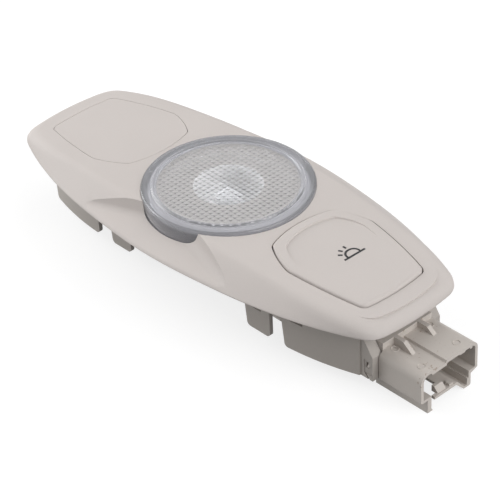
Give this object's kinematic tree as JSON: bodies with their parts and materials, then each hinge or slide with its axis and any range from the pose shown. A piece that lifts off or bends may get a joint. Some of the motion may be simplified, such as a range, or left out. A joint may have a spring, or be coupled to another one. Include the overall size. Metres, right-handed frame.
{
  "type": "car_dome_light",
  "caption": "Elongated beige overhead courtesy lamp with a round prismatic lens, a push button with a lamp symbol, a blank cover and a side connector",
  "frame": {"origin": "on the lens axis, in the plane where the middle of the cover's edge lies on the roof lining", "axes": "+X along the lamp towards the connector, +Y across the lamp to the long side that the picture shows at the back, +Z out of the lens into the cabin"},
  "size_m": [0.1964, 0.0798, 0.0391],
  "materials": {
    "cover_plastic": "fine-grained warm light grey",
    "housing_plastic": "smooth light grey, unpainted",
    "clear_lens": "clear with a prism pattern",
    "reflector_silver": "vacuum-coated silver",
    "bulb_clear": "clear glass",
    "holder_plastic": "dark heat-resistant moulding",
    "switch_plastic": "natural moulding",
    "slider_plastic": "low-friction moulding",
    "brass_strip": "stamped strip",
    "steel_wire": "bright wire"
  },
  "bodies": {
    "lamp_body": {"bezel": "cover_plastic", "lens": "clear_lens", "blank_cover": "cover_plastic", "rear_housing": "housing_plastic", "connector_header": "housing_plastic", "track_supply": "brass_strip", "track_signal": "brass_strip", "track_ground": "brass_strip", "reflector": "reflector_silver", "bulb_glass": "bulb_clear", "bulb_filament": "steel_wire", "bulb_holder": "holder_plastic", "bulb_contact_supply": "brass_strip", "bulb_contact_return": "brass_strip", "switch_case": "switch_plastic", "switch_base": "switch_plastic", "switch_terminal_signal": "brass_strip", "switch_terminal_ground": "brass_strip", "switch_spring": "steel_wire"},
    "button": {"button_cap": "cover_plastic", "switch_slider": "slider_plastic", "switch_bridge": "brass_strip"}
  },
  "joints": [
    {"name": "button_press", "type": "slide", "parent": "lamp_body", "child": "button", "axis": [0, 0, -1], "range_m": [0, 0.0016], "stiffness_N_per_m": 800, "springref_m": -0.002, "deforming": ["switch_spring"]}
  ]
}
